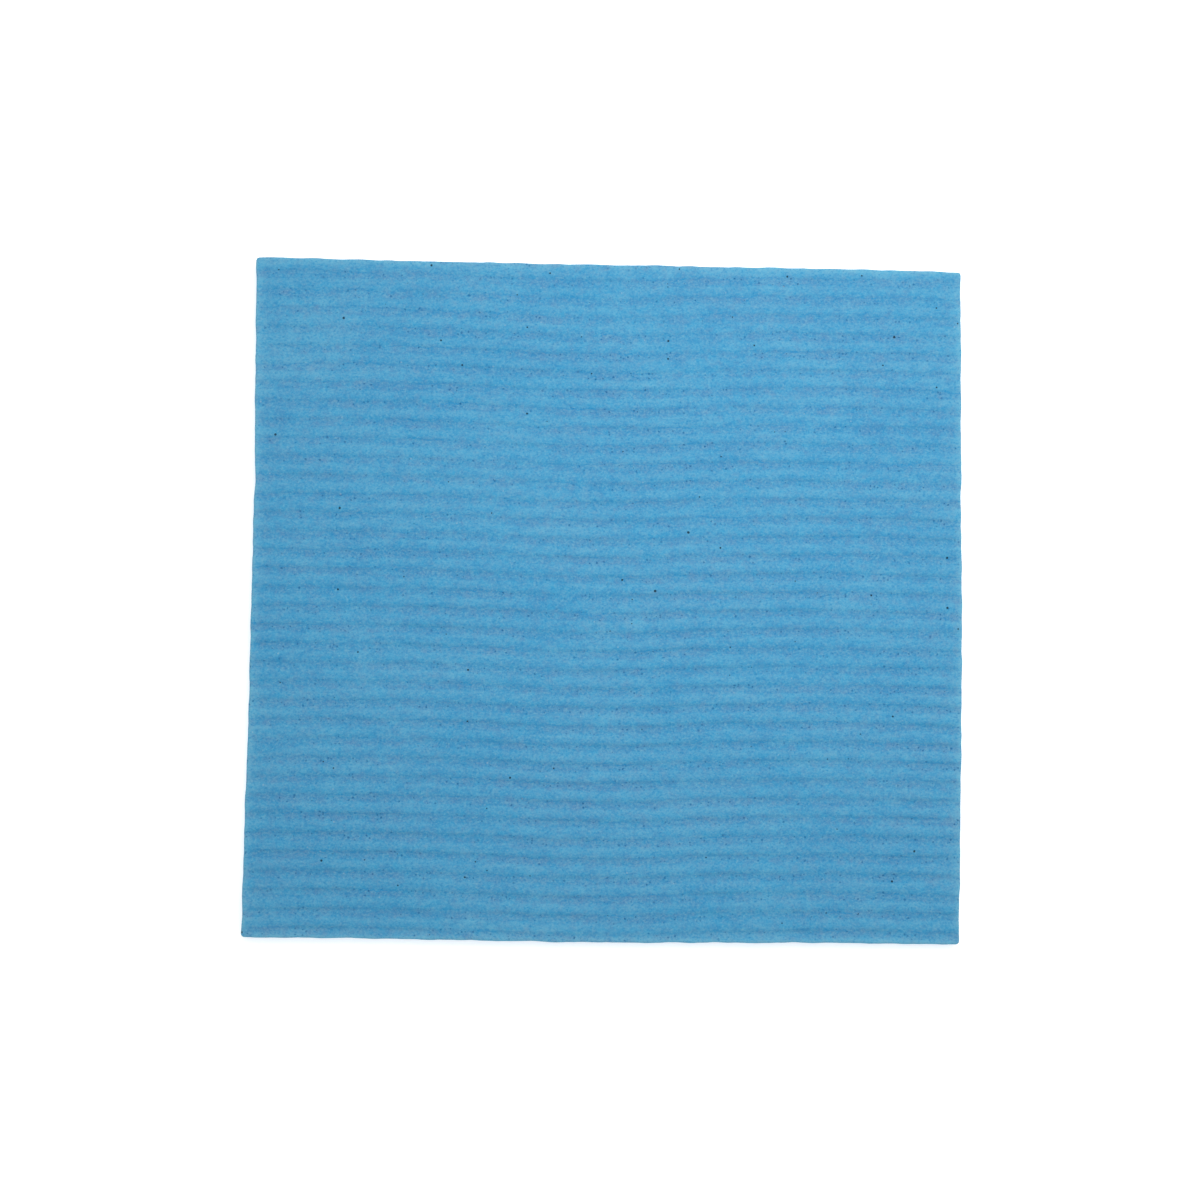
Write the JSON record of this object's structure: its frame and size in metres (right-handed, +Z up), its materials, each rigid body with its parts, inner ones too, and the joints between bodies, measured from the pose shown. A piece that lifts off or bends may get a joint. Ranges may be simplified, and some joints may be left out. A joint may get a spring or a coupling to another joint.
{
  "type": "sponge cloth",
  "caption": "Flat square-cut sponge cloth: one ribbed sheet of blue cellulose sponge with a plain underside, lying flat.",
  "frame": {"origin": "middle of the flat underside, under the centre of the sheet's box", "axes": "+Z up through the thickness, out of the ribbed face; +X along the ribs; +Y across the ribs, to the back edge"},
  "size_m": [0.19, 0.181, 0.005],
  "materials": {
    "cellulose_sponge": "matte, finely porous"
  },
  "bodies": {
    "root": {"sponge_cloth": "cellulose_sponge"}
  },
  "joints": []
}
